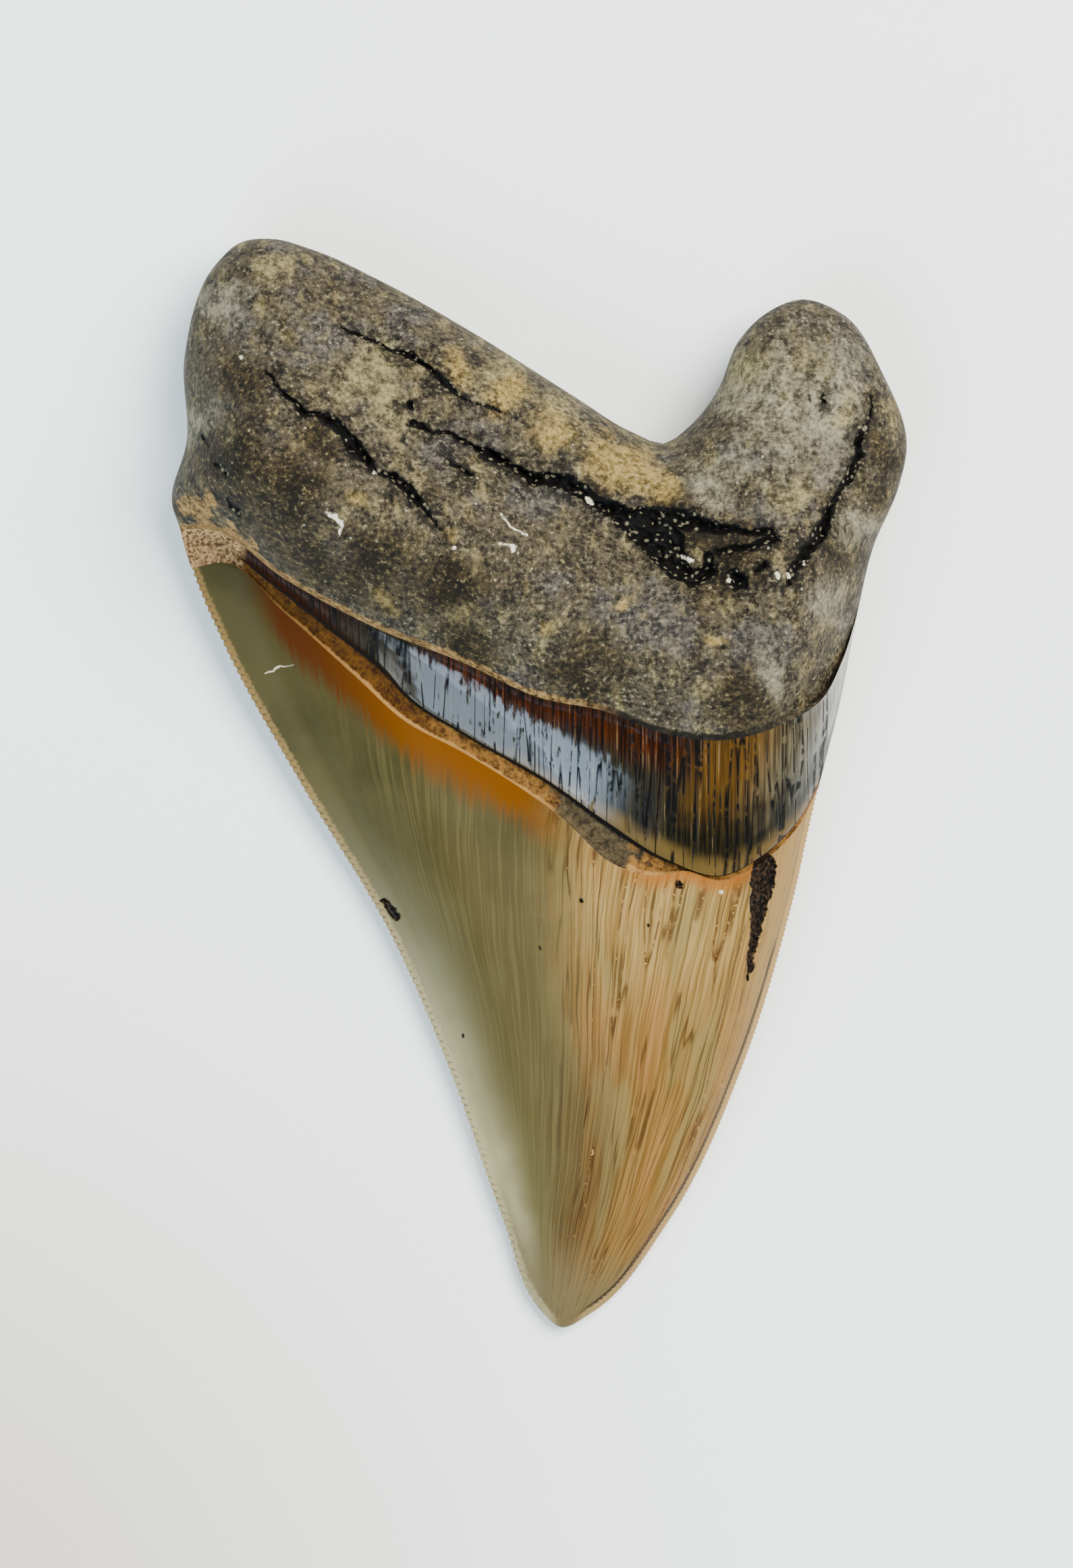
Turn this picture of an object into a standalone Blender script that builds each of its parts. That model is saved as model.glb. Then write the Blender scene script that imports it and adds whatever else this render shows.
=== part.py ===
"""Fossil megalodon tooth lying on its flatter labial face, root towards +Y and lingual face up.

The tooth grew as one piece, so it is one solid. Two grids are laid over its two faces and share the
outline. A grid point has a place across the tooth, from 0 at the left outline to 1 at the right, and
a place along it, counted in bands from the root's top margin to the tip.
"""

from math import radians

import bmesh
import bpy
import numpy as np
from mathutils import Vector, noise

MM = 0.001

# Driving heights of the tooth above the table
TORUS_HEIGHT = 24.5 * MM  # the root's lingual bulge
LOBE_HEIGHT = 15.5 * MM  # the root's lobes
NECK_HEIGHT = 20.0 * MM  # the root's lower margin at its highest
ENAMEL_HEIGHT = 16.2 * MM  # the upper edge of the crown's enamel at its highest
TIP_HEIGHT = 1.6 * MM  # the cutting edge at the tip

# Steps between the surfaces, and the serrations of the cutting edges
LIP_STEP = 0.9 * MM  # the root stands above the bourlette
BOURLETTE_STEP = 0.4 * MM  # the bourlette stands above the ledge below it
ENAMEL_STEP = 0.5 * MM  # the enamel stands above that ledge
LABIAL_STEP = 0.35 * MM
SERRATION_DEPTH = 0.3 * MM
SERRATIONS_PER_ROW = 3
LUMP_HEIGHT, LUMP_SIZE = 0.35 * MM, 9.0 * MM

# Bands along the tooth. A place along it of 1.25 is a quarter of the way down the bourlette.
ROOT, BOURLETTE, LEDGE, CROWN, TIP = range(5)

# Grid of each face. Rows are fractions of their band, closer where a step or a rounding needs them.
COLUMNS = 32
CROWN_ROWS = 27
ROWS = {
    ROOT: (0, 0.012, 0.04, 0.09, 0.16, 0.25, 0.35, 0.45, 0.55, 0.65, 0.75, 0.84, 0.92, 0.97),
    BOURLETTE: (0, 0.06, 0.35, 0.68),
    LEDGE: (0, 0.15, 0.85),
    CROWN: tuple(np.linspace(0, 1, CROWN_ROWS, endpoint=False)),
}
EDGE_CROWDING = 0.6  # 0 spaces the columns evenly, 1 as the cosine of an angle
FINE_REACHES = (4.4 * MM, 2.2 * MM)  # grid edges this near a crack are halved, once for each

# The outline seen from above, clockwise from the left lobe, in millimetres from its middle. Each
# stretch ends where the next begins.
OUTLINE = {
    "top_margin": ((-35.9, 57.7), (-33.2, 60.1), (-29.5, 60.5), (-25.4, 59.4), (-17.1, 55.6),
                   (-6.5, 49.6), (3.8, 43.1), (10.5, 39.0), (13.9, 37.8), (16.6, 39.6),
                   (19.8, 43.6), (22.2, 49.2), (25.0, 52.1), (29.2, 53.8)),
    "right_lobe": ((34.1, 51.9), (38.2, 45.6), (40.9, 37.5), (40.0, 33.0), (37.2, 26.4)),
    "right_bourlette": ((35.4, 18.9), (33.5, 9.2)),
    "right_ledge": ((31.4, 0.8),),
    "right_edge": ((31.1, -0.4), (28.1, -13.8), (22.9, -30.9), (14.6, -48.5)),
    "tip": ((6.0, -58.8), (2.5, -60.5)),
    "left_edge": ((-0.2, -58.2), (-4.1, -48.6), (-10.5, -30.7), (-16.7, -16.6), (-26.7, 0.2),
                  (-35.2, 15.6)),
    "left_ledge": ((-38.7, 24.0),),
    "left_bourlette": ((-39.7, 27.4),),
    "left_lobe": ((-39.9, 28.3), (-40.8, 31.0), (-39.2, 38.0), (-39.4, 47.5)),
}

# Lines across the lingual face between the ends of those stretches, then across the labial face
NECK = ((-36.4, 28.2), (-28.2, 22.7), (-18.2, 17.3), (-8.4, 13.4), (0.1, 9.5), (7.3, 8.0),
        (13.5, 5.6), (19.8, 4.8), (26.9, 6.6), (31.3, 9.4), (33.6, 13.6))
BOURLETTE_FOOT = ((-36.4, 27.5), (-31.7, 24.0), (-22.6, 17.0), (-17.0, 12.6), (-14.6, 9.9),
                  (-8.3, 5.7), (0.8, 0.5), (7.4, -4.1), (14.3, -8.4), (20.0, -10.1),
                  (24.7, -7.9), (28.7, -4.0))
ENAMEL_EDGE = ((-35.0, 24.6), (-28.5, 19.2), (-20.1, 11.7), (-14.9, 7.0), (-8.6, 3.6),
               (-3.0, 0.2), (2.3, -3.5), (8.6, -9.0), (12.6, -10.1), (16.4, -9.6),
               (20.0, -10.7), (24.7, -8.6), (28.7, -4.8))
LABIAL_LINES = (
    ((-27.0, 23.0), (-9.0, 18.5), (8.0, 16.0), (22.0, 16.0)),
    ((-27.0, 19.0), (-9.0, 12.0), (8.0, 6.5), (22.0, 3.5)),
    ((-27.0, 15.0), (-9.0, 6.5), (8.0, 0.5), (22.0, -2.0)),
)

# The root's ridge, its cracks with their half widths and depths, and the hollow they run into
RIDGE = ((-30.0, 36.0), (-16.0, 28.5), (0.0, 20.5), (12.0, 15.5), (21.0, 14.5), (28.0, 19.0))
CRACKS = (
    (((-30.2, 45.5), (-26.7, 41.4), (-21.9, 38.5), (-19.0, 35.0), (-15.2, 33.0), (-11.0, 27.9)),
     0.9 * MM, 1.2 * MM),
    (((-21.9, 50.3), (-18.1, 49.1), (-13.9, 47.1), (-10.0, 43.9), (-4.3, 40.4)),
     0.6 * MM, 0.7 * MM),
    (((-14.0, 39.9), (-8.1, 37.8), (-1.7, 34.6), (5.3, 31.8), (10.0, 28.0), (16.5, 23.5)),
     0.9 * MM, 1.2 * MM),
    (((22.0, 22.8), (26.7, 22.8), (30.5, 27.0), (33.2, 32.4), (35.5, 36.6), (36.8, 41.8)),
     0.8 * MM, 1.1 * MM),
)
HOLLOW = ((6.5, 30.5), (12.0, 30.1), (19.0, 28.6), (26.8, 26.5), (22.5, 24.6), (16.5, 21.8))
HOLLOW_DEPTH, HOLLOW_BANK = 1.6 * MM, 1.5 * MM
CHIP = ((24.6, -8.6), (24.0, -14.0), (23.3, -20.5))  # enamel flaked off beside the right edge
CHIP_HALF_WIDTH, CHIP_DEPTH = 1.3 * MM, 0.5 * MM

# Where the root touches the table: the middle and reach of a foot under each lobe
LOBE_FEET = (((-26.0, 44.0), 13.0 * MM), ((31.0, 38.0), 10.0 * MM))

COLOUR = (0.30, 0.25, 0.17, 1.0)
ROUGHNESS = 0.45


def smooth_line(points, closed=False, samples=16):
    """A dense smooth line through points given in millimetres."""
    points = np.array(points, float) * MM
    if closed:
        points = np.vstack([points[-1:], points, points[:2]])
    spans = np.linalg.norm(np.diff(points, axis=0), axis=1)[:, None]
    slopes = np.diff(points, axis=0) / spans
    tangents = np.vstack([slopes[:1], slopes])
    tangents[1:-1] = (slopes[:-1] * spans[1:] + slopes[1:] * spans[:-1]) / (spans[:-1] + spans[1:])
    u = np.linspace(0, 1, samples, endpoint=False)[None, :, None]
    leave, arrive = tangents[:-1, None] * spans[:, None], tangents[1:, None] * spans[:, None]
    line = points[:-1, None] * (1 - u) ** 2 * (1 + 2 * u) + points[1:, None] * u**2 * (3 - 2 * u)
    line += leave * u * (1 - u) ** 2 - arrive * u**2 * (1 - u)
    line = np.vstack([line.reshape(-1, 2), points[-1:]])
    return line[samples:-samples] if closed else line


def at_fraction(line, fraction):
    """Points at these fractions of a line's length."""
    lengths = np.concatenate([[0], np.cumsum(np.linalg.norm(np.diff(line, axis=0), axis=1))])
    run = np.asarray(fraction) * lengths[-1]
    return np.stack([np.interp(run, lengths, line[:, k]) for k in (0, 1)], axis=-1)


def distance_to(line, places):
    """Distance of each place to a line of straight pieces."""
    nearest = np.full(len(places), np.inf)
    for start, piece in zip(line[:-1], np.diff(line, axis=0)):
        share = np.clip((places - start) @ piece / max(piece @ piece, 1e-18), 0, 1)
        nearest = np.minimum(nearest, np.linalg.norm(places - start - share[:, None] * piece, axis=1))
    return nearest


def ease(value, low, high):
    """Rises smoothly from 0 at low to 1 at high."""
    share = np.clip((value - low) / (high - low), 0, 1)
    return share * share * (3 - 2 * share)


def quarter_round(distance, reach):
    """Rises from 0 to 1 over reach, as a quarter of an ellipse does."""
    return np.sqrt(1 - (1 - np.clip(distance / reach, 0, 1)) ** 2)


def cut_outline():
    """The closed outline and its named stretches, each a dense line."""
    samples = 16
    whole = smooth_line([p for stretch in OUTLINE.values() for p in stretch], True, samples)
    stretches, first = {}, 0
    for name, stretch in OUTLINE.items():
        last = first + len(stretch)
        stretches[name] = whole[first * samples : last * samples + 1]
        first = last
    return whole, stretches


def lines_across(stretches, inner_lines):
    """Lines across one face, from the top margin to the tip."""
    starts = [stretches[n][0] for n in ("left_lobe", "left_bourlette", "left_ledge")]
    ends = [stretches[n][0] for n in ("right_bourlette", "right_ledge", "right_edge")]
    inner = [
        smooth_line([start / MM, *points, end / MM])
        for start, points, end in zip(starts, inner_lines, ends)
    ]
    return [stretches["top_margin"], *inner, stretches["tip"][::-1]]


def lay_over(across_lines, sides, across, along):
    """Plan position of grid points: each band is a patch stretched between its four lines."""
    band = np.clip(along.astype(int), ROOT, CROWN)
    places = np.empty((len(across), 2))
    for number in (ROOT, BOURLETTE, LEDGE, CROWN):
        here = band == number
        s, t = across[here, None], (along - band)[here, None]
        upper, lower = across_lines[number], across_lines[number + 1]
        places[here] = (1 - t) * at_fraction(upper, s[:, 0]) + t * at_fraction(lower, s[:, 0])
        places[here] += (1 - s) * at_fraction(sides[0][number], t[:, 0])
        places[here] += s * at_fraction(sides[1][number], t[:, 0])
        places[here] -= (1 - t) * ((1 - s) * upper[0] + s * upper[-1])
        places[here] -= t * ((1 - s) * lower[0] + s * lower[-1])
    return places


def serrate(places, sides, across, along):
    """Notches the two cutting edges."""
    part = along - CROWN
    notch = 1 - np.abs((part * CROWN_ROWS * SERRATIONS_PER_ROW) % 1 - 0.5) * 2
    for side, edge, turn in ((sides[0], across < 1e-6, -1), (sides[1], across > 1 - 1e-6, 1)):
        here = edge & (part > 0) & (part < 1)
        run = at_fraction(side[CROWN], np.minimum(part[here] + 0.01, 1))
        run -= at_fraction(side[CROWN], part[here] - 0.01)
        inward = np.stack([run[:, 1], -run[:, 0]], axis=1) * turn
        inward /= np.linalg.norm(inward, axis=1)[:, None]
        places[here] += inward * (SERRATION_DEPTH * notch[here])[:, None]


def rim_height(along):
    """Height of the outline, where the two faces meet."""
    return np.interp(along, (ROOT, BOURLETTE, LEDGE, CROWN, 3.4, TIP),
                     (7.5 * MM, 6.6 * MM, 6.2 * MM, 5.6 * MM, 3.0 * MM, TIP_HEIGHT))


def neck_profile(across, crest=0.68):
    """Height across the root's lower margin, from 0 at the outline to 1 at the crest."""
    left, right = across / crest, (1 - across) / (1 - crest)
    return 1 - (1 - np.clip(np.minimum(left, right), 0, 1)) ** 2.2


def blade_profile(across, crest):
    """Height across the crown: a thin blade on the left and a fuller body on the right."""
    left, right = np.clip(across / crest, 0, 1), np.clip((1 - across) / (1 - crest), 0, 1)
    blade = 0.45 * (1 - (1 - left) ** 2) + 0.55 * np.sin(np.pi / 2 * left) ** 2
    return np.where(across < crest, blade, 1 - (1 - right) ** 2.3)


def crack_distances(places):
    return [distance_to(smooth_line(points, samples=6), places) for points, _, _ in CRACKS]


def inside_hollow(places):
    """How far inside the hollow's rim each place is, and 0 outside it."""
    rim = np.vstack([HOLLOW, HOLLOW[:1]]) * MM
    inside = np.ones(len(places), bool)
    for start, piece in zip(rim[:-1], np.diff(rim, axis=0)):
        inside &= piece[0] * (places - start)[:, 1] < piece[1] * (places - start)[:, 0]
    return np.where(inside, distance_to(rim, places), 0)


def root_hollows(places):
    """Depth of the root's cracks and hollow."""
    depth = HOLLOW_DEPTH * ease(inside_hollow(places), 0, HOLLOW_BANK)
    for (_, half_width, deepest), away in zip(CRACKS, crack_distances(places)):
        depth = np.maximum(depth, deepest * (1 - ease(away, 0, half_width)))
    return depth


def lumps(places):
    """Uneven relief of the root."""
    return LUMP_HEIGHT * np.array([noise.noise(Vector((*place, 0)) / LUMP_SIZE) for place in places])


def lingual_height(across, along, places, outline, neck):
    """Height of the upper, rounder face."""
    rim = rim_height(along)
    inner = ease(np.minimum(across, 1 - across), 0, 0.09)
    neck_top = rim + (NECK_HEIGHT - rim) * neck_profile(across)
    enamel_top = rim + (ENAMEL_HEIGHT - rim) * blade_profile(across, 0.64)

    near_ridge = np.exp(-((distance_to(smooth_line(RIDGE), places) / (12 * MM)) ** 2))
    crest = LOBE_HEIGHT + (TORUS_HEIGHT - LOBE_HEIGHT) * near_ridge
    crest = np.maximum(crest, neck_top + 0.5 * MM)
    share = np.clip((neck_top - rim) / (crest - rim), 0, 1)
    share += (1 - share) * quarter_round(distance_to(neck, places), 9 * MM)
    inset = distance_to(outline, places)
    root = rim + (crest - rim) * quarter_round(inset, 11 * MM) * share
    root += (lumps(places) - root_hollows(places)) * ease(inset, 0, 2 * MM)

    part = along - BOURLETTE
    foot = enamel_top + BOURLETTE_STEP * inner
    bourlette = neck_top + (foot - neck_top) * part - LIP_STEP * inner * ease(part, 0, 0.06) * (1 - part)

    part = along - LEDGE
    ledge = foot + (enamel_top - foot) * ease(part, 0, 0.15)
    ledge -= ENAMEL_STEP * inner * (ease(part, 0, 0.15) - ease(part, 0.85, 1))

    part = np.clip(along - CROWN, 0, 1)
    body = TIP_HEIGHT + (ENAMEL_HEIGHT - TIP_HEIGHT) * (1 - part**1.5) ** 0.8
    crown = rim + (body - rim) * blade_profile(across, 0.64 - 0.08 * part)
    away = distance_to(smooth_line(CHIP), places)
    crown -= CHIP_DEPTH * (1 - ease(away, 0.6 * CHIP_HALF_WIDTH, CHIP_HALF_WIDTH))

    return np.select([along < BOURLETTE, along < LEDGE, along < CROWN], [root, bourlette, ledge], crown)


def labial_height(across, along, places, outline):
    """Height of the lower, flatter face, level where it touches the table."""
    rim = rim_height(along)
    inset = distance_to(outline, places)
    ground = np.full(len(places), 1.4 * MM)
    for middle, reach in LOBE_FEET:
        away = np.linalg.norm(places - np.array(middle) * MM, axis=1)
        ground -= 2.0 * MM * np.exp(-((away / reach) ** 2))
    root = rim + (ground - rim) * quarter_round(inset, 7 * MM)
    root += LABIAL_STEP * ease(along, 0.84, 0.97) * ease(inset, 0, 3 * MM)
    part = np.clip(along - CROWN, 0, 1)
    middle = 1.1 * MM * part**4 - 0.25 * MM
    crown = middle + (rim - middle) * np.abs(2 * across - 1) ** 2.2
    share = ease(along, BOURLETTE, CROWN)
    crown = root + (crown - root) * share
    return np.maximum(np.where(along < BOURLETTE, root, crown), 0)


def lay_grid(across_lines, sides, fine):
    """A flat grid with its place across as x and its place along as y, cut finer near the cracks."""
    rows = [band + share for band, shares in ROWS.items() for share in shares] + [TIP]
    bm = bmesh.new()
    made = bmesh.ops.create_grid(bm, x_segments=COLUMNS, y_segments=len(rows) - 1, size=0.5)
    for vert in made["verts"]:
        across = vert.co.x + 0.5
        crowded = 0.5 - 0.5 * np.cos(np.pi * across)
        vert.co.x = across + EDGE_CROWDING * (crowded - across)
        vert.co.y = rows[round((vert.co.y + 0.5) * (len(rows) - 1))]
    cutting = [e for e in bm.edges if e.is_boundary and min(v.co.y for v in e.verts) > CROWN - 1e-6]
    cutting = [e for e in cutting if max(v.co.y for v in e.verts) < TIP - 1e-6]
    bmesh.ops.subdivide_edges(bm, edges=cutting, cuts=2 * SERRATIONS_PER_ROW - 1)
    for reach in fine:
        bm.verts.index_update()
        grid = np.array([v.co[:2] for v in bm.verts])
        places = lay_over(across_lines, sides, grid[:, 0], grid[:, 1])
        near = np.min(crack_distances(places), axis=0) < reach
        near |= (inside_hollow(places) > 0) & (inside_hollow(places) < reach)
        near &= grid[:, 1] < BOURLETTE
        near &= [not v.is_boundary for v in bm.verts]
        edges = [e for e in bm.edges if all(near[v.index] for v in e.verts)]
        bmesh.ops.subdivide_edges(bm, edges=edges, cuts=1, use_grid_fill=True)
    bmesh.ops.triangulate(bm, faces=[f for f in bm.faces if len(f.verts) > 4])
    return bm


def shape_face(bm, across_lines, sides, outline, lingual):
    """Bends a flat grid over one face of the tooth."""
    across, along = np.array([v.co[:2] for v in bm.verts]).T
    places = lay_over(across_lines, sides, across, along)
    if lingual:
        heights = lingual_height(across, along, places, outline, across_lines[BOURLETTE])
    else:
        heights = labial_height(across, along, places, outline)
    serrate(places, sides, across, along)
    on_outline = (across < 1e-6) | (across > 1 - 1e-6) | (along < 1e-6) | (along > TIP - 1e-6)
    heights = np.where(on_outline, rim_height(along), heights)
    for vert, place, height in zip(bm.verts, places, heights):
        vert.co = (*place, height)


def make_tooth():
    outline, stretches = cut_outline()
    sides = (
        [stretches[n][::-1] for n in ("left_lobe", "left_bourlette", "left_ledge", "left_edge")],
        [stretches[n] for n in ("right_lobe", "right_bourlette", "right_ledge", "right_edge")],
    )
    mesh = bpy.data.meshes.new("tooth")
    joined = bmesh.new()
    for inner_lines, fine in (((NECK, BOURLETTE_FOOT, ENAMEL_EDGE), FINE_REACHES), (LABIAL_LINES, ())):
        across_lines = lines_across(stretches, inner_lines)
        bm = lay_grid(across_lines, sides, fine)
        shape_face(bm, across_lines, sides, outline, bool(fine))
        bm.to_mesh(mesh)
        bm.free()
        joined.from_mesh(mesh)
    bmesh.ops.remove_doubles(joined, verts=joined.verts, dist=1e-6)
    bmesh.ops.triangulate(joined, faces=joined.faces)
    bmesh.ops.recalc_face_normals(joined, faces=joined.faces)
    corners = np.array([v.co for v in joined.verts])
    middle = (corners.min(axis=0) + corners.max(axis=0)) / 2
    bmesh.ops.translate(joined, verts=joined.verts, vec=(-middle[0], -middle[1], -corners[:, 2].min()))
    joined.to_mesh(mesh)
    joined.free()
    mesh.shade_smooth()
    mesh.set_sharp_from_angle(angle=radians(50))
    material = bpy.data.materials.new("tooth")
    material.use_nodes = True
    shader = material.node_tree.nodes["Principled BSDF"]
    shader.inputs["Base Color"].default_value = COLOUR
    shader.inputs["Roughness"].default_value = ROUGHNESS
    mesh.materials.append(material)
    tooth = bpy.data.objects.new("tooth", mesh)
    bpy.context.collection.objects.link(tooth)


for leftover in list(bpy.data.objects):
    bpy.data.objects.remove(leftover)
make_tooth()
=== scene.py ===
from math import radians

import bmesh
import bpy
import numpy as np
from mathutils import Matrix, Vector, noise


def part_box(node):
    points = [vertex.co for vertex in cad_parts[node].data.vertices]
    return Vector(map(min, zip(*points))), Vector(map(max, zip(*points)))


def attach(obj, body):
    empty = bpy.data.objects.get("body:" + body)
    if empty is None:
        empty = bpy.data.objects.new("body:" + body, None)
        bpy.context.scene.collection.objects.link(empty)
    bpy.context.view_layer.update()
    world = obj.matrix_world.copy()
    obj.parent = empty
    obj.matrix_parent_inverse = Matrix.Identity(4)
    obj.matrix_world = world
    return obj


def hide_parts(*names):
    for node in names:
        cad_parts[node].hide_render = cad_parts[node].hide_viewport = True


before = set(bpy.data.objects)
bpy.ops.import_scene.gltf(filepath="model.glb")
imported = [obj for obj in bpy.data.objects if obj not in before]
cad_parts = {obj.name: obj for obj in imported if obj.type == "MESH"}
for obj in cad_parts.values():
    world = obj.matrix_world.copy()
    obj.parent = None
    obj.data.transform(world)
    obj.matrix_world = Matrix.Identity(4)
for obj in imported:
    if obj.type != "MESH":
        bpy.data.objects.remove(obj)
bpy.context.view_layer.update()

MM = 0.001

# Heights, steps and serrations of the tooth, as its solid has them
TORUS_HEIGHT = 24.5 * MM
LOBE_HEIGHT = 15.5 * MM
NECK_HEIGHT = 20.0 * MM
ENAMEL_HEIGHT = 16.2 * MM
TIP_HEIGHT = 1.6 * MM
LIP_STEP = 0.9 * MM
BOURLETTE_STEP = 0.4 * MM
ENAMEL_STEP = 0.5 * MM
LABIAL_STEP = 0.35 * MM
SERRATION_DEPTH, SERRATION_REACH = 0.3 * MM, 1.3 * MM
LUMP_HEIGHT, LUMP_SIZE = 0.35 * MM, 9.0 * MM
PITTING, FINE_PITTING = 0.12 * MM, 0.05 * MM
PITTING_SIZE, FINE_PITTING_SIZE = 2.6 * MM, 0.9 * MM

# How far in from the outline, and up from the neck, the root is rounded, and the ridge's reach
ROOT_ROUNDING, NECK_ROUNDING, LABIAL_ROUNDING = 11 * MM, 9 * MM, 7 * MM
RIDGE_REACH = 12 * MM
CREST_ABOVE_NECK = 0.5 * MM

# Where across the tooth the neck and the crown are highest, and that place's move at the tip
NECK_CREST, BLADE_CREST, CREST_SHIFT = 0.68, 0.64, 0.08

# The labial root's gap above the table, how far its feet reach down, and the crown's middle
LABIAL_GAP, FOOT_DROP = 1.4 * MM, 2.0 * MM
LABIAL_HOLLOW, LABIAL_TIP_RISE = 0.25 * MM, 1.1 * MM

# Bands along the tooth. A place along it of 1.25 is a quarter of the way down the bourlette.
ROOT, BOURLETTE, LEDGE, CROWN, TIP = range(5)
BAND_ROWS = {ROOT: 92, BOURLETTE: 24, LEDGE: 10, CROWN: 216}
LINGUAL_COLUMNS = 128
LABIAL_COLUMNS = LINGUAL_COLUMNS // 2
EDGE_CROWDING = 0.6
FINE_REACHES = (1.0 * MM, 0.5 * MM)

# The outline seen from above, clockwise from the left lobe, in millimetres from its middle
OUTLINE = {
    "top_margin": ((-35.9, 57.7), (-33.2, 60.1), (-29.5, 60.5), (-25.4, 59.4), (-17.1, 55.6),
                   (-6.5, 49.6), (3.8, 43.1), (10.5, 39.0), (13.9, 37.8), (16.6, 39.6),
                   (19.8, 43.6), (22.2, 49.2), (25.0, 52.1), (29.2, 53.8)),
    "right_lobe": ((34.1, 51.9), (38.2, 45.6), (40.9, 37.5), (40.0, 33.0), (37.2, 26.4)),
    "right_bourlette": ((35.4, 18.9), (33.5, 9.2)),
    "right_ledge": ((31.4, 0.8),),
    "right_edge": ((31.1, -0.4), (28.1, -13.8), (22.9, -30.9), (14.6, -48.5)),
    "tip": ((6.0, -58.8), (2.5, -60.5)),
    "left_edge": ((-0.2, -58.2), (-4.1, -48.6), (-10.5, -30.7), (-16.7, -16.6), (-26.7, 0.2),
                  (-35.2, 15.6)),
    "left_ledge": ((-38.7, 24.0),),
    "left_bourlette": ((-39.7, 27.4),),
    "left_lobe": ((-39.9, 28.3), (-40.8, 31.0), (-39.2, 38.0), (-39.4, 47.5)),
}

# Lines across the lingual face between the ends of those stretches, then across the labial face
NECK = ((-36.4, 28.2), (-28.2, 22.7), (-18.2, 17.3), (-8.4, 13.4), (0.1, 9.5), (7.3, 8.0),
        (13.5, 5.6), (19.8, 4.8), (26.9, 6.6), (31.3, 9.4), (33.6, 13.6))
BOURLETTE_FOOT = ((-36.4, 27.5), (-31.7, 24.0), (-22.6, 17.0), (-17.0, 12.6), (-14.6, 9.9),
                  (-8.3, 5.7), (0.8, 0.5), (7.4, -4.1), (14.3, -8.4), (20.0, -10.1),
                  (24.7, -7.9), (28.7, -4.0))
ENAMEL_EDGE = ((-35.0, 24.6), (-28.5, 19.2), (-20.1, 11.7), (-14.9, 7.0), (-8.6, 3.6),
               (-3.0, 0.2), (2.3, -3.5), (8.6, -9.0), (12.6, -10.1), (16.4, -9.6),
               (20.0, -10.7), (24.7, -8.6), (28.7, -4.8))
LABIAL_LINES = (
    ((-27.0, 23.0), (-9.0, 18.5), (8.0, 16.0), (22.0, 16.0)),
    ((-27.0, 19.0), (-9.0, 12.0), (8.0, 6.5), (22.0, 3.5)),
    ((-27.0, 15.0), (-9.0, 6.5), (8.0, 0.5), (22.0, -2.0)),
)
# The root's ridge, and the middle and reach of the foot under each lobe
RIDGE = ((-30.0, 36.0), (-16.0, 28.5), (0.0, 20.5), (12.0, 15.5), (21.0, 14.5), (28.0, 19.0))
LOBE_FEET = (((-26.0, 44.0), 13.0 * MM), ((31.0, 38.0), 10.0 * MM))

# Cracks and pits of the root: lines of x, y and half width in millimetres
CRACKS = (
    ((-21.9, 50.4, 0.15), (-20.4, 49.7, 0.2), (-18.2, 48.9, 0.15), (-16.0, 47.7, 0.22),
     (-13.8, 47.2, 0.45), (-12.2, 45.8, 0.25), (-10.2, 44.1, 0.35), (-8.8, 42.7, 0.1),
     (-4.4, 41.1, 0.05)),
    ((-30.1, 45.5, 0.08), (-28.8, 43.6, 0.2), (-26.9, 42.0, 0.25), (-26.0, 40.8, 0.5),
     (-24.9, 40.7, 0.3), (-23.2, 40.2, 0.7), (-21.9, 39.0, 0.6), (-20.4, 37.1, 0.85),
     (-18.8, 35.4, 0.6), (-17.9, 34.2, 0.1), (-16.0, 33.8, 0.5), (-14.4, 32.4, 0.55),
     (-12.9, 30.5, 0.45), (-11.9, 29.3, 0.2), (-10.7, 27.7, 0.04)),
    ((-14.4, 41.7, 0.4), (-14.2, 41.5, 0.3)),
    ((-14.0, 39.7, 0.4), (-13.1, 39.3, 0.4), (-11.9, 38.7, 0.15), (-10.1, 38.7, 0.25),
     (-8.8, 38.0, 0.3), (-7.6, 37.4, 0.2), (-5.7, 36.4, 0.6), (-4.4, 35.8, 0.55),
     (-2.6, 34.9, 0.35), (-0.7, 33.6, 0.65), (0.9, 33.6, 0.8), (2.8, 33.3, 0.9),
     (4.8, 32.1, 0.75), (6.4, 30.9, 0.7), (8.7, 29.8, 1.1), (11.3, 28.3, 1.9),
     (14.0, 26.4, 2.2), (15.1, 23.8, 1.4), (16.7, 22.5, 0.9)),
    ((11.3, 29.8, 0.8), (15.8, 29.1, 1.1), (18.8, 28.3, 0.7), (22.6, 27.8, 0.35),
     (25.6, 27.6, 0.5)),
    ((19.6, 25.5, 0.3), (22.6, 26.1, 0.35), (26.3, 27.0, 0.35)),
    ((16.7, 22.5, 0.9), (18.7, 23.4, 0.8), (18.6, 24.9, 0.5)),
    ((22.0, 22.4, 1.1), (21.5, 22.8, 0.9)),
    ((24.8, 24.0, 0.45), (24.1, 23.4, 0.3)),
    ((27.3, 22.1, 0.3), (28.3, 24.0, 0.55), (29.9, 26.1, 0.7), (31.1, 27.7, 0.75),
     (32.0, 29.9, 0.6), (33.1, 32.1, 0.2), (34.2, 33.8, 0.45), (35.5, 36.4, 0.5),
     (35.1, 37.7, 0.4), (36.4, 39.9, 0.15), (37.0, 42.9, 0.06)),
    ((-10.1, 35.8, 0.12), (-8.8, 34.9, 0.15), (-7.6, 33.9, 0.3)),
    ((-37.3, 38.3, 0.2), (-36.5, 37.1, 0.15)),
    ((-35.4, 35.2, 0.25), (-34.4, 34.2, 0.2)),
    ((-34.4, 31.5, 0.2), (-32.9, 29.9, 0.35)),
    ((31.4, 42.6, 0.3), (31.5, 42.4, 0.3)),
)
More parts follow.
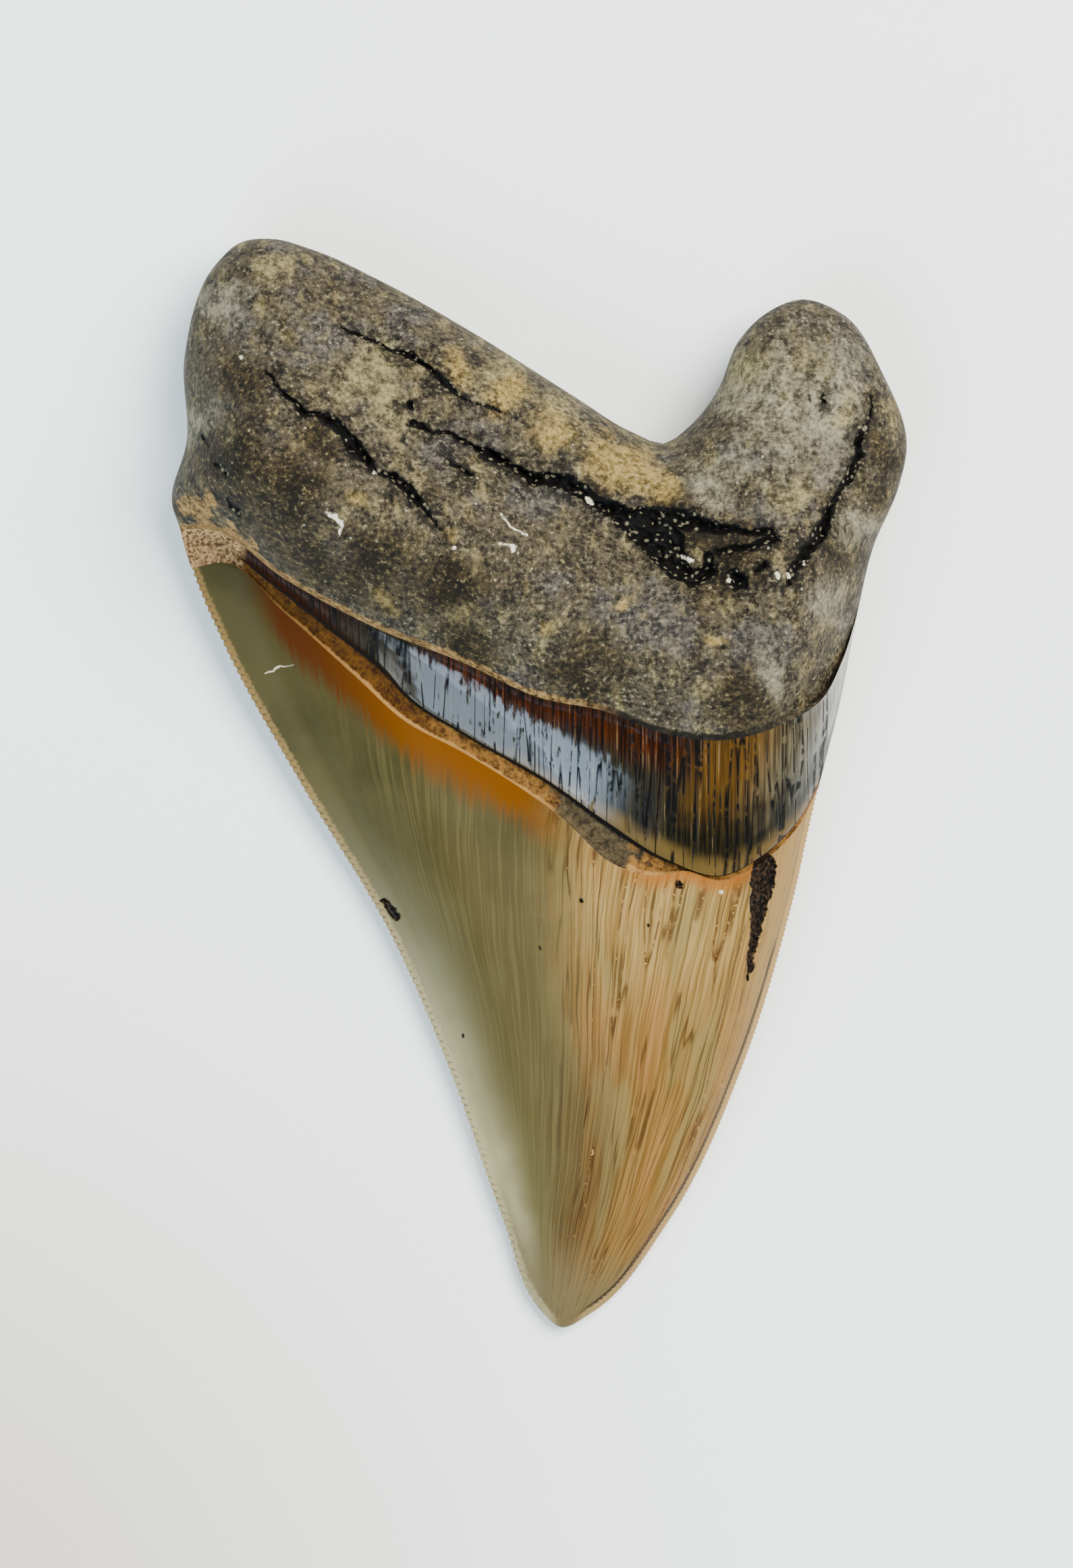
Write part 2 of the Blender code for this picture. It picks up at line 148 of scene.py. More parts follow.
CRACK_SLOPE, CRACK_DEPTH = 2.2, 1.7 * MM

# Where enamel has flaked off or is stained dark, and where a chip is pale, in the same way
DARK_MARKS = (
    ((25.0, -9.0, 1.4), (24.8, -11.1, 1.3), (24.3, -13.7, 0.95), (24.1, -15.9, 0.7),
     (23.5, -19.3, 0.4), (23.2, -21.6, 0.15)),
    ((-17.3, -12.8, 0.3), (-16.0, -14.6, 0.5)),
    ((4.7, -12.9, 0.25),), ((11.9, -15.6, 0.2),), ((-8.5, -28.1, 0.2),), ((0.1, -18.1, 0.15),),
    ((15.5, -11.1, 0.5),), ((20.3, 15.2, 0.25),),
)
DARK_MARK_DEPTH = 0.45 * MM
LIGHT_MARKS = (
    ((-23.4, 29.8, 0.12), (-22.4, 29.4, 0.32), (-21.6, 28.6, 0.28), (-22.0, 27.6, 0.15)),
    ((-4.3, 29.7, 0.12), (-3.2, 28.3, 0.15), (-1.3, 27.4, 0.12)),
    ((-4.3, 26.4, 0.2), (-3.5, 26.3, 0.1), (-3.0, 26.1, 0.4), (-2.9, 25.7, 0.3)),
    ((26.4, 22.9, 0.35),), ((27.5, 22.9, 0.25),), ((29.0, 24.3, 0.25),), ((20.8, 22.4, 0.35),),
    ((15.8, 25.0, 0.2), (16.7, 24.7, 0.25)), ((5.5, 31.2, 0.35),), ((-32.9, 47.1, 0.25),),
    ((-17.7, 48.9, 0.2),), ((-18.2, 34.2, 0.2),), ((-9.3, 25.8, 0.25),), ((10.3, 5.5, 0.2),),
    ((-30.6, 12.3, 0.06), (-28.9, 12.9, 0.1), (-27.2, 13.2, 0.05)), ((20.1, -11.9, 0.25),),
)

# Patches of colour on the root: x, y and radius in millimetres
OCHRE_PATCHES = (
    (9.8, 34.7, 3.6), (6.8, 36.6, 3.2), (12.8, 33.0, 2.6), (2.0, 39.4, 3.0), (-3.5, 42.6, 3.0),
    (-9.0, 46.0, 2.6), (19.4, 16.0, 1.1), (9.0, 20.0, 1.2), (-0.5, 17.5, 1.3), (-8.1, 17.7, 1.1),
    (-17.0, 20.1, 1.6), (-20.4, 31.5, 1.4), (-8.5, 28.6, 1.8),
)
OLIVE_PATCHES = (
    (-19.1, 45.2, 3.6), (-16.5, 41.5, 3.2), (-21.5, 42.6, 2.2), (-30.3, 56.5, 1.8),
    (27.1, 32.8, 2.6), (33.3, 41.4, 1.8), (29.0, 46.0, 2.5), (22.5, 46.0, 3.0), (-4.0, 45.5, 3.0),
    (2.0, 42.6, 2.4),
)
# Pale patches. Those on the right side of the root are painted light.
PALE_AND_LIT_PATCHES = (
    (29.5, 42.0, 9.0), (31.0, 20.0, 3.5), (23.0, 44.0, 5.0), (26.0, 12.0, 3.0), (-35.5, 53.0, 3.0),
    (-37.5, 40.0, 3.0), (35.0, 29.0, 3.5), (19.0, 33.0, 4.0),
)
SHOULDER_PATCHES = ((-37.5, 27.5, 2.6), (-34.8, 26.6, 2.4), (-37.8, 31.8, 2.0), (-32.5, 25.2, 1.6))
# Dark patches. Those in the hollow between the cracks are painted shade.
DARK_PATCHES = (
    (-27.0, 31.0, 7.0), (-18.0, 24.0, 6.0), (-10.0, 22.0, 6.0), (-33.0, 35.0, 6.0), (38.5, 36.0, 3.5),
    (20.0, 24.0, 5.0), (-40.5, 30.5, 2.0), (-25.0, 24.5, 4.0), (5.0, 12.0, 5.0), (-8.0, 15.0, 4.0),
    (22.0, 9.0, 4.0), (-33.0, 44.0, 4.0), (33.5, 25.0, 3.0), (-34.8, 34.5, 2.2), (-31.5, 30.8, 2.4),
    (-27.5, 30.0, 2.2), (14.0, 29.5, 3.0), (23.0, 26.0, 2.5), (37.5, 33.0, 2.5), (17.5, 26.5, 2.5),
    (28.5, 25.5, 1.8), (7.0, 32.5, 2.0), (33.0, 31.0, 1.8), (-24.0, 38.0, 2.5),
    (-13.0, 31.5, 2.0),
)


def smooth_line(points, closed=False, samples=16):
    """A dense smooth line through points given in millimetres."""
    points = np.array(points, float) * MM
    if closed:
        points = np.vstack([points[-1:], points, points[:2]])
    spans = np.linalg.norm(np.diff(points, axis=0), axis=1)[:, None]
    slopes = np.diff(points, axis=0) / spans
    tangents = np.vstack([slopes[:1], slopes])
    tangents[1:-1] = (slopes[:-1] * spans[1:] + slopes[1:] * spans[:-1]) / (spans[:-1] + spans[1:])
    u = np.linspace(0, 1, samples, endpoint=False)[None, :, None]
    leave, arrive = tangents[:-1, None] * spans[:, None], tangents[1:, None] * spans[:, None]
    line = points[:-1, None] * (1 - u) ** 2 * (1 + 2 * u) + points[1:, None] * u**2 * (3 - 2 * u)
    line += leave * u * (1 - u) ** 2 - arrive * u**2 * (1 - u)
    line = np.vstack([line.reshape(-1, 2), points[-1:]])
    return line[samples:-samples] if closed else line


def at_fraction(line, fraction):
    """Points at these fractions of a line's length."""
    lengths = np.concatenate([[0], np.cumsum(np.linalg.norm(np.diff(line, axis=0), axis=1))])
    run = np.asarray(fraction) * lengths[-1]
    return np.stack([np.interp(run, lengths, line[:, k]) for k in (0, 1)], axis=-1)


def distance_to(line, places):
    """Distance of each place to a line of straight pieces."""
    nearest = np.full(len(places), np.inf)
    for start, piece in zip(line[:-1], np.diff(line, axis=0)):
        share = np.clip((places - start) @ piece / max(piece @ piece, 1e-18), 0, 1)
        nearest = np.minimum(nearest, np.linalg.norm(places - start - share[:, None] * piece, axis=1))
    return nearest


def ease(value, low, high):
    """Rises smoothly from 0 at low to 1 at high."""
    share = np.clip((value - low) / (high - low), 0, 1)
    return share * share * (3 - 2 * share)


def quarter_round(distance, reach):
    """Rises from 0 to 1 over reach, as a quarter of an ellipse does."""
    return np.sqrt(1 - (1 - np.clip(distance / reach, 0, 1)) ** 2)


def rough(places, size, octaves=1):
    """Uneven values about 0, most within 1 of it, that change over size."""
    return np.array([
        noise.fractal(Vector((*place, size)) / size, 0.8, 2.1, octaves, noise_basis="PERLIN_NEW")
        for place in places
    ])


def patches(places, spots):
    """1 at the middle of each spot, fading to 0 outside it."""
    share = np.zeros(len(places))
    for x, y, radius in spots:
        away = np.linalg.norm(places - np.array((x, y)) * MM, axis=1)
        share = np.maximum(share, np.exp(-((away / (radius * MM)) ** 2)))
    return share


def cut_outline():
    """The closed outline and its named stretches, each a dense line."""
    samples = 16
    whole = smooth_line([p for stretch in OUTLINE.values() for p in stretch], True, samples)
    stretches, first = {}, 0
    for name, stretch in OUTLINE.items():
        last = first + len(stretch)
        stretches[name] = whole[first * samples : last * samples + 1]
        first = last
    return whole, stretches


def lines_across(stretches, inner_lines):
    """Lines across one face, from the top margin to the tip."""
    starts = [stretches[n][0] for n in ("left_lobe", "left_bourlette", "left_ledge")]
    ends = [stretches[n][0] for n in ("right_bourlette", "right_ledge", "right_edge")]
    inner = [
        smooth_line([start / MM, *points, end / MM])
        for start, points, end in zip(starts, inner_lines, ends)
    ]
    return [stretches["top_margin"], *inner, stretches["tip"][::-1]]


def lay_over(across_lines, sides, across, along):
    """Plan position of grid points: each band is a patch stretched between its four lines."""
    band = np.clip(along.astype(int), ROOT, CROWN)
    places = np.empty((len(across), 2))
    for number in (ROOT, BOURLETTE, LEDGE, CROWN):
        here = band == number
        s, t = across[here, None], (along - band)[here, None]
        upper, lower = across_lines[number], across_lines[number + 1]
        places[here] = (1 - t) * at_fraction(upper, s[:, 0]) + t * at_fraction(lower, s[:, 0])
        places[here] += (1 - s) * at_fraction(sides[0][number], t[:, 0])
        places[here] += s * at_fraction(sides[1][number], t[:, 0])
        places[here] -= (1 - t) * ((1 - s) * upper[0] + s * upper[-1])
        places[here] -= t * ((1 - s) * lower[0] + s * lower[-1])
    return places


def serrate(places, sides, across, along):
    """Notches the two cutting edges: every second row is drawn inward near them. Returns by how much."""
    drawn = np.zeros(len(places))
    part = np.clip(along - CROWN, 0, 1)
    notch = 1 - np.abs((part * BAND_ROWS[CROWN] / 2) % 1 - 0.5) * 2
    wear = np.clip(0.75 + 0.5 * rough(np.stack([part * 0.1, across], 1), 3 * MM), 0.2, 1.2)
    for side, near, turn in ((sides[0], across < 0.5, -1), (sides[1], across > 0.5, 1)):
        run = at_fraction(side[CROWN], np.clip(part + 0.01, 0, 1))
        run -= at_fraction(side[CROWN], np.clip(part - 0.01, 0, 1))
        inward = np.stack([run[:, 1], -run[:, 0]], axis=1) * turn
        inward /= np.linalg.norm(inward, axis=1)[:, None]
        away = distance_to(side[CROWN], places)
        share = notch * wear * (1 - ease(away, 0, SERRATION_REACH)) * near * (part > 0) * (part < 1)
        places += inward * (SERRATION_DEPTH * share)[:, None]
        drawn += share
    return drawn


def rim_height(along):
    """Height of the outline, where the two faces meet."""
    return np.interp(along, (ROOT, BOURLETTE, LEDGE, CROWN, 3.4, TIP),
                     (7.5 * MM, 6.6 * MM, 6.2 * MM, 5.6 * MM, 3.0 * MM, TIP_HEIGHT))


def neck_profile(across):
    """Height across the root's lower margin, from 0 at the outline to 1 at the crest."""
    left, right = across / NECK_CREST, (1 - across) / (1 - NECK_CREST)
    return 1 - (1 - np.clip(np.minimum(left, right), 0, 1)) ** 2.2


def blade_profile(across, crest):
    """Height across the crown: a thin blade on the left and a fuller body on the right."""
    left, right = np.clip(across / crest, 0, 1), np.clip((1 - across) / (1 - crest), 0, 1)
    blade = 0.45 * (1 - (1 - left) ** 2) + 0.55 * np.sin(np.pi / 2 * left) ** 2
    return np.where(across < crest, blade, 1 - (1 - right) ** 2.3)


def line_distance(lines, places):
    """Distance to the edge of the nearest of lines that widen and narrow, below 0 inside it."""
    nearest = np.full(len(places), np.inf)
    for points in lines:
        points = np.array([*points, points[-1]]) * MM
        for start, piece in zip(points[:-1], np.diff(points, axis=0)):
            length = max(piece[:2] @ piece[:2], 1e-18)
            share = np.clip((places - start[:2]) @ piece[:2] / length, 0, 1)
            away = np.linalg.norm(places - start[:2] - share[:, None] * piece[:2], axis=1)
            nearest = np.minimum(nearest, away - start[2] - share * piece[2])
    return nearest


def wander(places, size, reach):
    """Places moved about unevenly, so that a line drawn through them wavers."""
    return places + reach * np.stack([rough(places, size), rough(places[:, ::-1], size)], 1)


def lingual_height(across, along, places, outline, neck, crack, dark_mark):
    """Height of the upper, rounder face."""
    rim = rim_height(along)
    inner = ease(np.minimum(across, 1 - across), 0, 0.09)
    neck_top = rim + (NECK_HEIGHT - rim) * neck_profile(across)
    enamel_top = rim + (ENAMEL_HEIGHT - rim) * blade_profile(across, BLADE_CREST)

    near_ridge = np.exp(-((distance_to(smooth_line(RIDGE), places) / RIDGE_REACH) ** 2))
    crest = LOBE_HEIGHT + (TORUS_HEIGHT - LOBE_HEIGHT) * near_ridge
    crest = np.maximum(crest, neck_top + CREST_ABOVE_NECK)
    share = np.clip((neck_top - rim) / (crest - rim), 0, 1)
    share += (1 - share) * quarter_round(distance_to(neck, places), NECK_ROUNDING)
    inset = distance_to(outline, places)
    root = rim + (crest - rim) * quarter_round(inset, ROOT_ROUNDING) * share
    relief = LUMP_HEIGHT * np.array([noise.noise(Vector((*place, 0)) / LUMP_SIZE) for place in places])
    relief -= (PITTING * np.abs(rough(places, PITTING_SIZE, 3))
               + FINE_PITTING * np.abs(rough(places, FINE_PITTING_SIZE, 2)))
    crumbled = np.clip(CRACK_SLOPE * (0.1 * MM - crack), 0, CRACK_DEPTH)
    relief -= crumbled * (0.7 + 0.5 * rough(places, 1.1 * MM, 2))
    root += relief * ease(inset, 0, 2 * MM)

    part = along - BOURLETTE
    foot = enamel_top + BOURLETTE_STEP * inner
    lip = inner * ease(part, 0, 0.06) * (1 - 0.6 * ease(across, 0.62, 0.75))
    bourlette = neck_top + (foot - neck_top) * part**1.6 - LIP_STEP * lip * (1 - part)
    flutes = rough(np.stack([across * 0.35, along * 0.02], 1), 4 * MM, 2)
    bourlette -= 0.05 * MM * flutes * inner * ease(part, 0.05, 0.2)

    part = along - LEDGE
    ledge = foot + (enamel_top - foot) * ease(part, 0, 0.15)
    ledge -= ENAMEL_STEP * inner * (ease(part, 0, 0.15) - ease(part, 0.85, 1))
    crumbs = np.abs(rough(places, 1.1 * MM, 2)) * inner * ease(part, 0, 0.15) * (1 - ease(part, 0.8, 1))
    ledge -= 0.12 * MM * crumbs

    part = np.clip(along - CROWN, 0, 1)
    body = TIP_HEIGHT + (ENAMEL_HEIGHT - TIP_HEIGHT) * (1 - part**1.5) ** 0.8
    crown = rim + (body - rim) * blade_profile(across, BLADE_CREST - CREST_SHIFT * part)
    crown -= DARK_MARK_DEPTH * (1 - ease(dark_mark, -0.35 * MM, 0.1 * MM))
    flutes = rough(np.stack([across * 0.3, part * 0.03], 1), 5 * MM, 2)
    crown -= 0.04 * MM * flutes * inner * ease(across, 0.35, 0.5)

    return np.select([along < BOURLETTE, along < LEDGE, along < CROWN], [root, bourlette, ledge], crown)


def labial_height(across, along, places, outline):
    """Height of the lower, flatter face, level where it touches the table."""
    rim = rim_height(along)
    inset = distance_to(outline, places)
    ground = np.full(len(places), LABIAL_GAP)
    for middle, reach in LOBE_FEET:
        away = np.linalg.norm(places - np.array(middle) * MM, axis=1)
        ground -= FOOT_DROP * np.exp(-((away / reach) ** 2))
    root = rim + (ground - rim) * quarter_round(inset, LABIAL_ROUNDING)
    root += LABIAL_STEP * ease(along, 0.84, 0.97) * ease(inset, 0, 3 * MM)
    root += PITTING * np.abs(rough(places, PITTING_SIZE, 3)) * ease(inset, 0, 2 * MM)
    part = np.clip(along - CROWN, 0, 1)
    middle = LABIAL_TIP_RISE * part**4 - LABIAL_HOLLOW
    crown = middle + (rim - middle) * np.abs(2 * across - 1) ** 2.2
    share = ease(along, BOURLETTE, CROWN)
    crown = root + (crown - root) * share
    return np.maximum(np.where(along < BOURLETTE, root, crown), 0)


def place_across(share):
    """Place across the tooth of a share of the grid's columns: they crowd at both edges."""
    return share + EDGE_CROWDING * (0.5 - 0.5 * np.cos(np.pi * share) - share)


def place_along(row):
    """Place along the tooth of a row of the grid. The root's rows crowd at its margin."""
    first, along = 0, np.zeros_like(row)
    for band, count in BAND_ROWS.items():
        share = np.clip((row - first) / count, 0, 1)
        along += share**1.5 if band == ROOT else share
        first += count
    return along


def grid_places(bm):
    """Places across and along the tooth of a flat grid's points."""
    share, row = np.array([v.co[:2] for v in bm.verts]).T
    return np.clip(place_across(share), 0, 1), place_along(row)


def lay_grid(columns, cut_ends):
    """A flat grid: x is the share of its columns and y the row. cut_ends halves its end edges."""
    rows = sum(BAND_ROWS.values())
    bm = bmesh.new()
    bmesh.ops.create_grid(bm, x_segments=columns, y_segments=rows, size=0.5)
    bmesh.ops.translate(bm, verts=bm.verts, vec=(0.5, 0.5, 0))
    for vert in bm.verts:
        vert.co = (round(vert.co.x * columns) / columns, round(vert.co.y * rows), 0)
    if cut_ends:
        ends = [e for e in bm.edges if e.is_boundary and e.verts[0].co.y == e.verts[1].co.y]
        bmesh.ops.subdivide_edges(bm, edges=ends, cuts=1)
    return bm


def cut_finer(bm, across_lines, sides):
    """Halves the grid's edges near cracks and marks, once for each reach."""
    for reach in FINE_REACHES:
        across, along = grid_places(bm)
        places = lay_over(across_lines, sides, across, along)
        away = line_distance(CRACKS + DARK_MARKS + LIGHT_MARKS, places)
        near = (away < reach) & [not v.is_boundary for v in bm.verts]
        bm.verts.index_update()
        edges = [e for e in bm.edges if all(near[v.index] for v in e.verts)]
        bmesh.ops.subdivide_edges(bm, edges=edges, cuts=1, use_grid_fill=True)


def store(mesh, name, values):
    """Keeps a number for each vertex under a name that materials can read."""
    mesh.attributes.new(name, "FLOAT", "POINT").data.foreach_set("value", values.astype(np.float32))


ROOT_SLOT, BOURLETTE_SLOT, LEDGE_SLOT, ENAMEL_SLOT = range(4)


def make_face(name, lingual, outline, stretches, sides):
    """One face of the tooth as a mesh, with the fields its materials read."""
    inner_lines = (NECK, BOURLETTE_FOOT, ENAMEL_EDGE) if lingual else LABIAL_LINES
    across_lines = lines_across(stretches, inner_lines)
    bm = lay_grid(LINGUAL_COLUMNS if lingual else LABIAL_COLUMNS, not lingual)
    if lingual:
        cut_finer(bm, across_lines, sides)
    across, along = grid_places(bm)
    places = lay_over(across_lines, sides, across, along)
    worn = wander(wander(places, 1.5 * MM, 0.3 * MM), 0.6 * MM, 0.15 * MM) if lingual else places + 1.0
    crack, dark_mark, light_mark = (
        line_distance(lines, worn) for lines in (CRACKS, DARK_MARKS, LIGHT_MARKS)
    )
    if lingual:
        heights = lingual_height(
            across, along, places, outline, across_lines[BOURLETTE], crack, dark_mark
        )
        slots = (ROOT_SLOT, BOURLETTE_SLOT, LEDGE_SLOT, ENAMEL_SLOT)
        enamel = np.clip(along - CROWN, 0, 1)
    else:
        heights = labial_height(across, along, places, outline)
        slots = (ROOT_SLOT, ENAMEL_SLOT, ENAMEL_SLOT, ENAMEL_SLOT)
        enamel = np.interp(along, (BOURLETTE, CROWN, TIP), (0, 0.08, 1))
    on_outline = np.array([v.is_boundary for v in bm.verts])
    heights = np.where(on_outline, rim_height(along), heights)
    fields = {
        "across": across,
        "along": along,
        "enamel": enamel,
        "inset": np.minimum(distance_to(outline, places), 8 * MM) / MM,
        "lingual": np.full(len(places), float(lingual)),
        "crack": np.minimum(crack / MM, 6),
        "dark_mark": np.minimum(dark_mark / MM, 6),
        "light_mark": np.minimum(light_mark / MM, 6),
        "notch": serrate(places, sides, across, along),
    }
    drifted = wander(places, 5 * MM, 2.5 * MM)
    for field, spots in (("ochre", OCHRE_PATCHES), ("olive", OLIVE_PATCHES), ("pale", PALE_AND_LIT_PATCHES),
                         ("shoulder", SHOULDER_PATCHES), ("shade", DARK_PATCHES)):
        fields[field] = patches(drifted, spots)
    for face in bm.faces:
        row = np.mean([along[v.index] for v in face.verts])
        face.material_index = slots[min(int(row), CROWN)]
    for vert, place, height in zip(bm.verts, places, heights):
        vert.co = (*place, height)
    mesh = bpy.data.meshes.new(name)
    bm.to_mesh(mesh)
    bm.free()
    for field, values in fields.items():
        store(mesh, field, values)
    return mesh


class Field:
    """An output socket. Arithmetic on it adds Math nodes to its material."""

    def __init__(self, maker, socket):
        self.maker, self.socket = maker, socket

    def math(self, operation, *values):
        return self.maker.node("ShaderNodeMath", {"operation": operation}, *values)

    def __add__(self, other):
        return self.math("ADD", self, other)

    def __sub__(self, other):
        return self.math("SUBTRACT", self, other)

    def __mul__(self, other):
        return self.math("MULTIPLY", self, other)

    def __rsub__(self, other):
        return self.math("SUBTRACT", other, self)

    __radd__, __rmul__ = __add__, __mul__

    def size(self):
        return self.math("ABSOLUTE", self)

    def between(self, low, high):
        """0 below low and 1 above high, rising smoothly. With low above high it falls."""
        return self.maker.node(
            "ShaderNodeMapRange", {"interpolation_type": "SMOOTHSTEP"}, self, low, high, 0.0, 1.0
        )


class Maker:
    """Makes the nodes of one material, or of the world."""

    def __init__(self, owner):
        owner.use_nodes = True
        self.owner, self.tree = owner, owner.node_tree

    def put(self, socket, value):
        if isinstance(value, Field):
            self.tree.links.new(value.socket, socket)
        elif value is not None:
            socket.default_value = value

    def node(self, kind, settings, *values, output=0, **named):
        made = self.tree.nodes.new(kind)
        for setting, value in settings.items():
            setattr(made, setting, value)
        for socket, value in zip(made.inputs, values):
            self.put(socket, value)
        for socket, value in named.items():
            self.put(made.inputs[socket], value)
        return Field(self, made.outputs[output])

    def field(self, name):
        return self.node("ShaderNodeAttribute", {"attribute_name": name}, output="Fac")

    def position(self):
        return self.node("ShaderNodeTexCoord", {}, output="Object")

    def axis(self, number):
        """The object's x, y or z, in metres."""
        return self.node("ShaderNodeSeparateXYZ", {}, self.position(), output=number)

    def noise(self, size, detail=2.0, at=None, roughness=0.5):
        """Uneven values about 0.5 that change over size in metres, or over size of at."""
        return self.node(
            "ShaderNodeTexNoise", {}, output="Fac",
            Vector=at or self.position(), Scale=1 / size, Detail=detail, Roughness=roughness,
        )

    def lines(self, size, at, width):
        """1 on thin wavering lines, about size apart, and 0 between them."""
        return (self.noise(size, 1.0, at) - 0.5).size().between(width, 0.0)

    def grains(self, size):
        """Distance from the middle of the nearest of scattered grains, in grains."""
        return self.node(
            "ShaderNodeTexVoronoi", {}, output="Distance", Vector=self.position(), Scale=1 / size
        )

    def vector(self, x, y, z):
        return self.node("ShaderNodeCombineXYZ", {}, x, y, z)

    def mix(self, share, first, second):
        unused = (None,) * 5
        return self.node("ShaderNodeMix", {"data_type": "RGBA"}, share, *unused, first, second, output=2)

    def finish(self, colour, roughness, height, distance, coat=None):
        shader = self.tree.nodes["Principled BSDF"]
        self.put(shader.inputs["Base Color"], colour)
        self.put(shader.inputs["Roughness"], roughness)
        self.put(shader.inputs["Coat Weight"], coat)
        bump = self.node("ShaderNodeBump", {}, Strength=1.0, Distance=distance, Height=height)
        self.put(shader.inputs["Normal"], bump)
        return self.owner


def new_material(name, **constants):
    """A maker for a new material, with these shader sockets set."""
    maker = Maker(bpy.data.materials.new(name))
    for socket, value in constants.items():
        maker.tree.nodes["Principled BSDF"].inputs[socket.replace("_", " ")].default_value = value
    return maker


def colour(text):
    """Linear colour of a six-digit sRGB one."""
    parts = [int(text[k : k + 2], 16) / 255 for k in (0, 2, 4)]
    return (*[p / 12.92 if p < 0.04045 else ((p + 0.055) / 1.055) ** 2.4 for p in parts], 1.0)


def root_material():
    """Granular grey-brown bone, mottled with ochre, with black in its cracks, painted shade around them
    and in the hollow.
    """
    m = new_material("fossil_root", Specular_IOR_Level=0.1)
    fine = m.noise(0.5 * MM, 3.0, roughness=0.7)
    coarse = m.noise(1.4 * MM, 4.0, roughness=0.6)
    broad = m.noise(7 * MM, 4.0, roughness=0.6)
    grain = m.grains(0.9 * MM)
    mottle = m.noise(2.0 * MM, 4.0, m.vector(m.axis(0), m.axis(1) * 0.5, m.axis(2) * 0.5), 0.6)
    spread = (fine * 0.6 + coarse * 0.4).between(0.37, 0.62)
    base = m.mix(spread, colour("15110b"), colour("504836"))
    mottled = m.mix(spread, colour("3a311c"), colour("827550"))
    base = m.mix(mottle.between(0.52, 0.68) * 0.8, base, mottled)
    greyer = m.mix(spread, colour("211f1d"), colour("595550"))
    base = m.mix(broad.between(0.5, 0.62) * 0.6, base, greyer)
    uneven = (broad - 0.5) * 1.6 + (coarse - 0.5) * 0.8
    # Pale layer: pale bone on the left, painted light on the right side of the root.
    pale = (m.field("pale") + uneven).between(0.25, 1.3)
    base = m.mix(pale * 0.75, base, m.mix(spread, colour("4f4a39"), colour("918a72")))
    olive = (m.field("olive") + uneven).between(0.2, 1.1)
    base = m.mix(olive * 0.8, base, m.mix(spread, colour("443e27"), colour("897e56")))
    ochre = (m.field("ochre") + uneven).between(0.25, 1.1)
    base = m.mix(ochre * 0.9, base, m.mix(spread, colour("52421c"), colour("9a8249")))
    shade = (m.field("shade") + uneven).between(0.15, 1.0)
    base = m.mix(shade * 0.75, base, m.mix(spread, colour("0c0803"), colour("3e3013")))
    base = m.mix(shade * grain.between(0.6, 0.15) * 0.6, base, colour("0a0703"))
    # Black at the middle of the dark patches: crumbly black on the left, painted shade in the hollow
    # between the cracks.
    black_crumbs_and_hollow_shade = (m.field("shade") * 0.5 + coarse).between(0.9, 1.04)
    base = m.mix(black_crumbs_and_hollow_shade * 0.8, base, colour("060503"))
    fleck = m.mix(shade, colour("8f876c"), colour("7d7150"))
    base = m.mix(fine.between(0.58, 0.7) * 0.55, base, fleck)
    # Painted shade: a dark surround about each crack.
    painted_crack_shade = (m.field("crack") + (coarse - 0.5) * 6 + (fine - 0.5) * 3).between(1.5, 0.0)
    base = m.mix(painted_crack_shade * 0.6, base, colour("0a0805"))
    shoulder = (m.field("shoulder") + (coarse - 0.5) * 1.2).between(0.35, 0.6)
    base = m.mix(shoulder * 0.85, base, m.mix(spread, colour("38250e"), colour("9e7b46")))
    # Scattered pale specks: pale grains, partly painted glints.
    base = m.mix(m.grains(2.2 * MM).between(0.1, 0.05) * 0.6, base, colour("9c927a"))
    lip = (m.field("along") + (coarse - 0.5) * 0.02).between(0.976, 0.986)
    left = m.field("across").between(0.62, 0.54)
    # Along the neck: a tan lip on the left, and to the right black painted shade under the root's edge.
    lip_tan_and_painted_shade = m.mix(left, colour("0b0805"), m.mix(spread, colour("3f2b10"), colour("957445")))
    base = m.mix(lip * (0.9 - m.field("across").between(0.74, 0.86) * 0.6), base, lip_tan_and_painted_shade)
    edge = m.field("crack") + (fine - 0.5) * 0.9 + (coarse - 0.5) * 0.9
    crumb = (grain + (coarse - 0.5) * 0.8).between(0.32, 0.14)
    base = m.mix(edge.between(0.25, -0.05), base, m.mix(crumb, colour("050403"), colour("69634f")))
    base = m.mix((m.field("dark_mark") + (fine - 0.5) * 0.3).between(0.15, -0.1), base, colour("0f0c06"))
    chip = (m.field("light_mark") + (fine - 0.5) * 0.9).between(0.04, -0.12)
    base = m.mix(chip, base, colour("cfc6ab"))
    height = fine * 0.5 + coarse * 0.9 + grain * 0.4
    return m.finish(base, 0.5 + fine * 0.4, height, 0.35 * MM)


